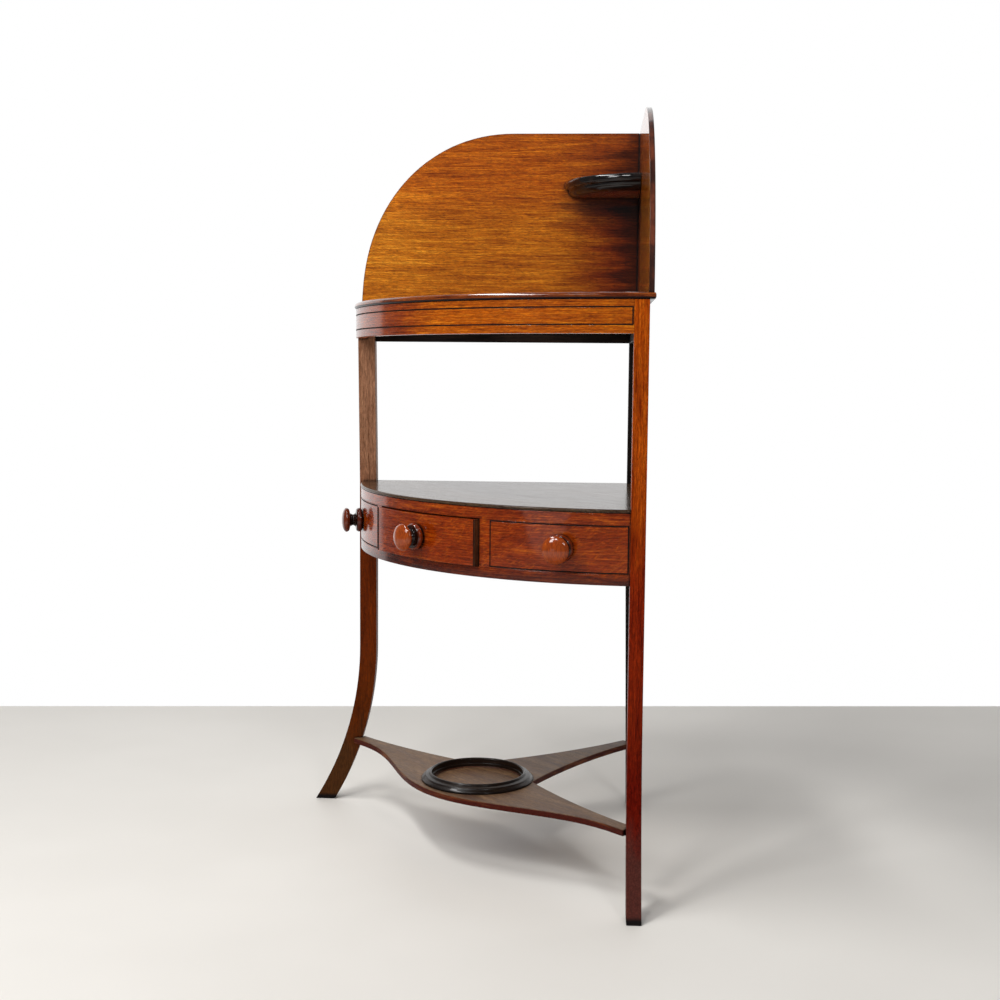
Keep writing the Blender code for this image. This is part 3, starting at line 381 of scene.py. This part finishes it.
def wood(name, way, tones, roughness, coat, streak=0.007, figure=0.0, flecks=0.5, chips=0.0,
         tint=None, calm=0.0, rim=0.0, shine=0.1, reach=0.004):
    """Polished wood: streaks and pores along the grain, cloudy figure, worn arrises.

    way is the grain's direction and streak the width of its streaks. figure, flecks, chips
    and rim are the strengths of clouds, pores, worn spots and dark edges, and calm lowers
    the contrast of the streaks. tint changes the colour by place, shine is the specular
    level and reach the width of the darkening in joints and hollows, which is partly soiling
    and partly painted shade."""
    look = Look(name)
    light, middle, dark = tones
    vector = look.grain(way)
    wide, narrow = streak * 3, streak / 3
    broad = look.noise(vector, (BROAD_LENGTH, wide, wide), detail=5, rough=0.6, twist=0.6)
    lines = look.noise(vector, (LINE_LENGTH, narrow, narrow), detail=5, rough=0.68, twist=0.3)
    fibre = look.noise(vector, FIBRE_SIZE, detail=4, rough=0.6)
    pores = look.noise(vector, PORE_SIZE, detail=2, rough=0.5)
    value = look.math("ADD", look.math("MULTIPLY", broad, BROAD_SHARE),
                      look.math("MULTIPLY", lines, LINE_SHARE))
    low, high = DARK_TO_MIDDLE
    colour = look.mix(look.ramp(value, low - calm, high - calm / 2), dark, middle)
    low, high = MIDDLE_TO_LIGHT
    colour = look.mix(look.ramp(value, low, high + calm), colour, light)
    if figure:
        slant = look.node("VectorRotate", {"Vector": vector, "Axis": (0, 1, 0),
                                           "Angle": FIGURE_SLANT})
        cloud = look.noise(slant, CLOUD_SIZE, detail=6, rough=0.65, twist=1.0)
        cross = look.noise(slant, CROSS_SIZE, detail=4, rough=0.65, twist=0.8)
        both = look.math("ADD", look.math("MULTIPLY", cloud, 0.5),
                         look.math("MULTIPLY", cross, 0.5))
        colour = look.mix(look.ramp(both, *FIGURE_LIGHT, 0, figure), colour, light)
        colour = look.mix(look.ramp(both, *FIGURE_DARK, 0, figure), colour, dark)
    if tint:
        colour = tint(look, vector, colour)
    speckle = look.noise(vector, SPECKLE_SIZE, detail=3, rough=0.75)
    dim = look.math("MULTIPLY", look.ramp(fibre, *FIBRE_DIM), look.ramp(speckle, *SPECKLE_DIM))
    colour = look.mix(1.0, colour, look.vector(dim, dim, dim), "MULTIPLY")
    fleck = look.ramp(pores, *PORE_ONSET, 0, flecks)
    colour = look.mix(fleck, colour, tuple(part * PORE_DEPTH for part in dark))
    rough = look.ramp(lines, *MID_NOISE, roughness * 0.8, roughness * 1.25)
    if chips:
        spots = look.noise(vector, CHIP_SIZE, detail=3, rough=0.7)
        worn = look.math("MULTIPLY", look.edge(CHIP_REACH),
                         look.ramp(spots, *CHIP_ONSET, 0, chips))
        colour = look.mix(worn, colour, CHIP)
        rough = look.math("MAXIMUM", rough, look.math("MULTIPLY", worn, CHIP_ROUGHNESS))
    if rim:
        colour = look.mix(look.math("MULTIPLY", look.edge(RIM_REACH), rim), colour, INK)
    # Joints and hollows turn towards black: partly soiling, partly painted shade
    dirt_and_shade = look.gap(reach)
    colour = look.mix(look.math("MULTIPLY", dirt_and_shade, DIRT_AND_SHADE), colour, INK)
    look.set("Base Color", colour)
    look.set("Roughness", rough)
    look.set("Specular IOR Level", shine)
    if coat:
        bare = look.math("MAXIMUM", dirt_and_shade, look.facing((0, 0, -1), *COAT_LOST))
        look.set("Coat Weight", look.math("MULTIPLY", look.math("SUBTRACT", 1.0, bare), coat))
        look.set("Coat Roughness", COAT_ROUGHNESS)
    look.bump(look.math("SUBTRACT", look.math("MULTIPLY", fibre, 0.5), fleck), WOOD_BUMP)
    return look.material


def panel_tint(hand):
    """Tint of a splash panel: pale at the front; dark and red near the back corner, partly
    less faded wood and partly painted shade of the corner and the soap shelf; a painted
    shadow of the soap shelf in a band below it; nearly black on the edges."""
    outward = (DIAGONAL * side_of(hand), DIAGONAL, 0)
    inward = tuple(-part for part in outward)

    def tint(look, vector, colour):
        along, _, height = look.split(vector)
        along = look.drift(along, vector, *PANEL_DRIFT)
        zone, share = PANEL_PALE
        colour = look.shade(look.ramp(along, *zone), colour, share)
        zone, share = PANEL_HIGH
        colour = look.shade(look.ramp(height, *zone), colour, share)
        # Darker and redder near the back corner, most below the soap shelf: partly less faded
        # wood, partly painted shade
        zone, share = PANEL_FADE_AND_SHADE
        near = look.math("MULTIPLY", look.ramp(along, *zone),
                         look.ramp(height, *FADE_AND_SHADE_BELOW_SOAP))
        colour = look.shade(near, colour, share)
        # Darker still close to the corner: painted shade
        zone, share = PANEL_CORNER_SHADE
        colour = look.shade(look.ramp(along, *zone), colour, share)
        # Nearly black in a band below the soap shelf: painted shadow of the soap shelf
        under = look.math("MULTIPLY", look.ramp(height, *SOAP_SHADOW_FOOT),
                          look.ramp(height, *SOAP_SHADOW_HEAD))
        soap_shadow = look.math("MULTIPLY", under, look.ramp(along, *SOAP_SHADOW_REACH))
        colour = look.mix(soap_shadow, colour, INK)
        face = look.math("MAXIMUM", look.facing(outward, *PANEL_FACE),
                         look.facing(inward, *PANEL_FACE))
        worn = look.wear(vector, *PANEL_WEAR)
        return look.mix(face, look.mix(worn, *PANEL_EDGE), colour)

    return tint


def leg_tint(low_share, lower_share, foot_tone):
    """Tint of a leg: darker in two steps towards the floor, with a dull tone at the foot and
    black at the sole.
    """

    def tint(look, vector, colour):
        height = look.split(vector)[0]
        place = look.drift(height, vector, *LEG_DRIFT)
        colour = look.shade(look.ramp(place, *LEG_LOW), colour, low_share)
        colour = look.shade(look.ramp(place, *LEG_LOWER), colour, lower_share)
        foot = look.math("MULTIPLY", look.ramp(place, *LEG_FOOT_ONSET), LEG_FOOT_SHARE)
        colour = look.mix(foot, colour, foot_tone)
        return look.mix(look.ramp(height, *LEG_SOLE), colour, INK)

    return tint


def case_foot_tint(look, vector, colour):
    """The foot of the case is darker towards its lower edge."""
    zone, share = CASE_FOOT
    return look.shade(look.ramp(look.split(vector)[2], *zone), colour, share)


def stretcher_tint(look, vector, colour):
    """The upright edges of the stretcher kept the dark red polish that its top has lost."""
    top = look.facing((0, 0, 1), *STRETCHER_TOP)
    worn = look.wear(vector, *STRETCHER_WEAR)
    return look.mix(top, look.mix(worn, *WORN_EDGE), colour)


def knob_painted_shade(ajar):
    """Painted shade on a knob: all but the dome is darkened, and its neck turns nearly black."""

    def tint(look, vector, colour):
        radius = look.split(look.grain("bow"))[1]
        height = look.math("SUBTRACT", radius, CASE_RADIUS + ajar)
        low, high = KNOB_THROAT_SHADE
        throat = look.math("MULTIPLY", look.ramp(height, *low), look.ramp(height, *high))
        zone, share = KNOB_BACK_SHADE
        colour = look.shade(look.ramp(height, *zone), colour, share)
        return look.mix(throat, colour, THROAT_SHADE)

    return tint


def frieze_left_shade(look, vector, colour):
    """Painted shade: the left part of the frieze, where the bow turns from the light, is redder
    and darker than the rest.
    """
    size, amount = FRIEZE_DRIFT
    along = look.drift(look.split(vector)[0], vector, size, amount, detail=5, rough=0.6)
    zone, share = FRIEZE_LEFT_SHADE
    return look.shade(look.ramp(along, *zone), colour, share)


def wall_side_tint(look, vector, colour):
    """Faces turned to the walls are lifted to dull brown; the others keep their near-black
    tones, dark stain and painted shade under the top.
    """
    outer = look.math("MAXIMUM", look.facing((DIAGONAL, DIAGONAL, 0), *WALL_FACE),
                      look.facing((-DIAGONAL, DIAGONAL, 0), *WALL_FACE))
    return look.shade(outer, colour, WALL_BROWN)


def top_board_under_shade(look, vector, colour):
    """Painted shade: the faces of the nosing that look down turn nearly black."""
    return look.mix(look.facing((0, 0, -1), *NOSING_UNDER), colour, NOSING_SHADE)


def black(name, roughness, coat, bare=False):
    """Black polish, and where asked bare brown wood under the piece, near the corner."""
    look = Look(name)
    vector = look.grain("x")
    haze = look.noise(vector, HAZE_SIZE, detail=5, rough=0.6)
    colour = look.mix(look.ramp(haze, *HAZE_ONSET), INK, INK_HAZE)
    if bare:
        radius = look.split(look.grain("bow"))[1]
        brown = look.math("MULTIPLY", look.facing((0, 0, -1), *BARE_FACE),
                          look.ramp(radius, BARE_REACH + BARE_EDGE, BARE_REACH - BARE_EDGE))
        colour = look.mix(brown, colour, BARE_BROWN)
    look.set("Base Color", colour)
    look.set("Roughness", look.ramp(haze, *MID_NOISE, roughness * 0.7, roughness * 1.4))
    look.set("Specular IOR Level", BLACK_SHINE)
    if coat:
        look.set("Coat Weight", coat)
        look.set("Coat Roughness", BLACK_COAT_ROUGHNESS)
    look.bump(look.noise(vector, POLISH_GRAIN, detail=3), BLACK_BUMP)
    return look.material


def brass(name):
    """Dull stained brass of the screws."""
    look = Look(name)
    stain = look.noise(look.grain("x"), STAIN_SIZE, detail=5, rough=0.6)
    look.set("Base Color", look.mix(look.ramp(stain, *STAIN_ONSET), *BRASS))
    look.set("Metallic", 1.0)
    look.set("Roughness", look.ramp(stain, *MID_NOISE, *BRASS_ROUGHNESS))
    look.bump(stain, BRASS_BUMP, BRASS_BUMP_DISTANCE)
    return look.material


looks = {}
for hand in SIDES:
    looks["splash_panel_" + hand] = wood("splash_" + hand, hand, GOLD, 0.36, 1.0, streak=0.005,
                                         flecks=0.75, figure=0.22, calm=0.05, rim=0.9,
                                         tint=panel_tint(hand))
    # The upper rails are near black: dark stain and painted shade under the top
    looks["upper_rail_" + hand] = wood("upper_rail_" + hand, hand, DARK_STAIN_AND_SHADE, 0.5, 0.0,
                                       tint=wall_side_tint)
    looks["case_rail_" + hand] = wood("case_rail_" + hand, hand, BROWN, 0.4, 0.1)
looks["top_board"] = wood("top_board", "bow", TOP_RED, 0.20, 1.0, chips=0.4,
                          tint=top_board_under_shade)
looks["shelf_board"] = wood("shelf_board", "x", SHELF, 0.16, 0.0, chips=0.5, shine=0.12)
looks["upper_frieze"] = wood("frieze", "bow", HONEY, 0.26, 0.8, streak=0.006, figure=0.2,
                             reach=0.007, calm=0.05, tint=frieze_left_shade)
front_look = wood("case_front", "bow", RED, 0.26, 0.7, figure=0.5, flecks=0.6, calm=0.08)
for name in ("blind_front_left", "blind_front_right", "drawer_front"):
    looks[name] = front_look
looks["case_top_rail"] = wood("case_rail_bowed", "bow", RED, 0.26, 0.8, figure=0.45,
                              flecks=0.6, chips=0.4, calm=0.03)
looks["case_foot_rail"] = wood("case_foot", "bow", RED, 0.26, 0.7, figure=0.45, flecks=0.6,
                               chips=0.4, calm=0.03, tint=case_foot_tint)
looks["front_leg_right"] = wood("leg_right", "z", LEG_HIGH, 0.38, 0.0, chips=0.5, flecks=0.6,
                                calm=0.03, shine=0.05,
                                tint=leg_tint((0.49, 0.21, 0.50), (0.58, 0.32, 0.60),
                                              LEG_FOOT))
# The left leg takes greyed tones, painted reflection of the pale wall
looks["front_leg_left"] = wood("leg_left", "z", LEG_GREYED_BY_REFLECTION, 0.38, 0.0, chips=0.5, flecks=0.6,
                               calm=0.03, shine=0.05,
                               tint=leg_tint((0.36, 0.11, 0.01), (0.80, 0.95, 0.7),
                                             LEG_FOOT_DULL))
# The back leg is near black: dark stain and painted shade under the top
looks["back_leg"] = wood("back_leg", "z", DARK_STAIN_AND_SHADE, 0.5, 0.0, tint=wall_side_tint)
looks["stretcher"] = wood("stretcher", "x", DRAB, 0.42, 0.0, chips=0.9, tint=stretcher_tint)
looks["jug_ring"] = wood("jug_ring", "ring", DARK_STAIN_AND_SHADE, 0.34, 0.2, shine=0.2, reach=0.003)
# The left knob takes the darker tones, painted shade
for name, tones, ajar in (("knob_left", KNOB_SHADED, 0), ("knob_centre", KNOB, DRAWER_AJAR),
                          ("knob_right", KNOB, 0)):
    looks[name] = wood(name, "z", tones, 0.18, 1.0, streak=0.003, flecks=0.2, calm=0.12,
                       reach=0.006, tint=knob_painted_shade(ajar))
bead_look = wood("drawer_bead", "z", BEAD, 0.35, 0.3, chips=0.9, rim=0.7)
for hand in SIDES:
    looks["drawer_bead_" + hand] = bead_look
string_look = black("stringing", 0.6, 0.0)
for name in ("frieze_stringing", "front_stringing_left", "front_stringing_right"):
    looks[name] = string_look
looks["soap_shelf"] = black("soap_shelf", 0.14, 0.6, bare=True)
brass_look = brass("brass")
pine_across = wood("pine_across", "x", PINE, 0.6, 0.0, flecks=0.1, streak=0.012)
pine_deep = wood("pine_deep", "y", PINE, 0.6, 0.0, flecks=0.1, streak=0.012)
pine_block = {hand: wood("pine_block_" + hand, hand, PINE, 0.6, 0.0, flecks=0.1)
              for hand in SIDES}


def look_of(name):
    """Material of a piece; what has none of its own is brass or pine."""
    if name in looks:
        return looks[name]
    if "screw" in name:
        return brass_look
    if "glue_block" in name:
        return pine_block["left" if "left" in name else "right"]
    if name in ("case_board", "drawer_back"):
        return pine_across
    return pine_deep


def arris_of(name):
    """Width of a piece's rounded edges."""
    if name.startswith("splash_panel"):
        return PANEL_ARRIS
    if "frieze" in name or "blind_front" in name or "stringing" in name:
        return FINE_ARRIS
    return ARRIS


for name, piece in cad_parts.items():
    clean_shading(piece, arris_of(name), name in PIERCED)
    piece.data.materials.clear()
    piece.data.materials.append(look_of(name))


# Old wax closes the joint where the two splash panels meet

def make_wax():
    """A hollow fillet along the inner corner, a little wider here and there."""
    low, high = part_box("splash_panel_left")
    bottom, top = low[2] + WAX_WIDTH, high[2] - WAX_WIDTH
    mesh = bmesh.new()
    rings = []
    for step in range(WAX_STEPS + 1):
        height = bottom + (top - bottom) * step / WAX_STEPS
        width = WAX_WIDTH + sum(size * math.sin(height / length + shift)
                                for length, size, shift in WAX_WAVES)
        long, short = (width * share for share in WAX_HOLLOW)
        outline = ((0, 0), (width, 0), (long, short), (short, long), (0, width))
        rings.append([mesh.verts.new(wall_frame(WAX_FACE + along, WAX_FACE + off, height))
                      for along, off in outline])
    for first, second in zip(rings, rings[1:]):
        for place in range(len(first)):
            after = (place + 1) % len(first)
            mesh.faces.new((first[place], first[after], second[after], second[place]))
    mesh.faces.new(rings[0])
    mesh.faces.new(rings[-1])
    bmesh.ops.recalc_face_normals(mesh, faces=mesh.faces)
    data = bpy.data.meshes.new("corner_wax")
    mesh.to_mesh(data)
    mesh.free()
    data.shade_smooth()
    wax = bpy.data.objects.new("corner_wax", data)
    bpy.context.scene.collection.objects.link(wax)
    data.materials.append(black("corner_wax", 0.6, 0.0))
    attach(wax, "stand")


make_wax()


# Camera, floor and light

def make_camera():
    """Camera from which the model covers the photograph."""
    data = bpy.data.cameras.new("camera")
    data.lens = CAMERA_LENS
    data.sensor_width = SENSOR_WIDTH
    camera = bpy.data.objects.new("camera", data)
    bpy.context.scene.collection.objects.link(camera)
    camera.location = CAMERA_PLACE
    camera.rotation_euler = [math.radians(turn) for turn in CAMERA_TURN_DEGREES]
    bpy.context.scene.camera = camera


def make_floor():
    """A pale floor that ends behind the stand, where the white wall begins."""
    inward = Vector((math.sin(FLOOR_TURN), -math.cos(FLOOR_TURN), 0))
    centre = Vector((*FLOOR_BACK_EDGE, FLOOR_Z)) + inward * FLOOR_SIZE / 2
    bpy.ops.mesh.primitive_plane_add(size=FLOOR_SIZE, location=centre,
                                     rotation=(0, 0, FLOOR_TURN))
    floor = bpy.context.object
    floor.name = "floor"
    look = Look("floor_pale")
    cloud = look.noise(look.grain("x"), FLOOR_CLOUD, detail=3)
    look.set("Base Color", look.mix(look.ramp(cloud, *MID_NOISE), *FLOOR))
    look.set("Roughness", FLOOR_ROUGHNESS)
    floor.data.materials.append(look.material)


def window(name, place, aim, size, power, shape="RECTANGLE"):
    """Area lamp at a place, turned towards a point."""
    data = bpy.data.lights.new(name, "AREA")
    data.shape = shape
    data.size, data.size_y = size
    data.energy = power
    lamp = bpy.data.objects.new(name, data)
    bpy.context.scene.collection.objects.link(lamp)
    lamp.location = place
    lamp.rotation_euler = (Vector(aim) - Vector(place)).to_track_quat("-Z", "Y").to_euler()


def make_light():
    """White wall behind the stand, a dimmer room in front and high windows at the left."""
    world = bpy.data.worlds.new("studio")
    bpy.context.scene.world = world
    world.use_nodes = True
    background = world.node_tree.nodes["Background"]
    background.inputs["Color"].default_value = (1, 1, 1, 1)
    nodes = Nodes(world.node_tree)
    facing = nodes.dot(nodes.node("TexCoord", {}, output="Generated"), WALL_WAY)
    wall = nodes.ramp(facing, *WALL_EDGE, ROOM_LEVEL, WALL_LEVEL)
    seen = nodes.node("LightPath", {}, output="Is Camera Ray")
    level = nodes.node("Mix", {0: seen, 2: wall, 3: 1.0})
    world.node_tree.links.new(level, background.inputs["Strength"])
    # Name, place, aim, size and watts
    for lamp in (("window_left", wall_frame(1.75, 1.65, 1.95), LAMP_AIM, (0.60, 1.0), 24),
                 ("skylight", (-0.63, -1.08, 2.68), SKYLIGHT_AIM, (1.2, 0.30), 27),
                 ("window_high", (0.775, -1.87, 2.60), LAMP_AIM, (0.50, 0.60), 17),
                 ("window_right", wall_frame(2.7, -0.9, 1.9), LAMP_AIM, (0.4, 0.6), 12)):
        window(*lamp)
    # Nested ellipses, so that the low glow has no hard edge in the polish
    for step in GLOW_STEPS:
        size = tuple(length * step for length in GLOW_SIZE)
        window("low_glow", wall_frame(2.4, 1.6, 0.30), LAMP_AIM, size, GLOW_POWER * step,
               "ELLIPSE")


bpy.context.scene.view_settings.view_transform = "Standard"
make_camera()
make_floor()
make_light()
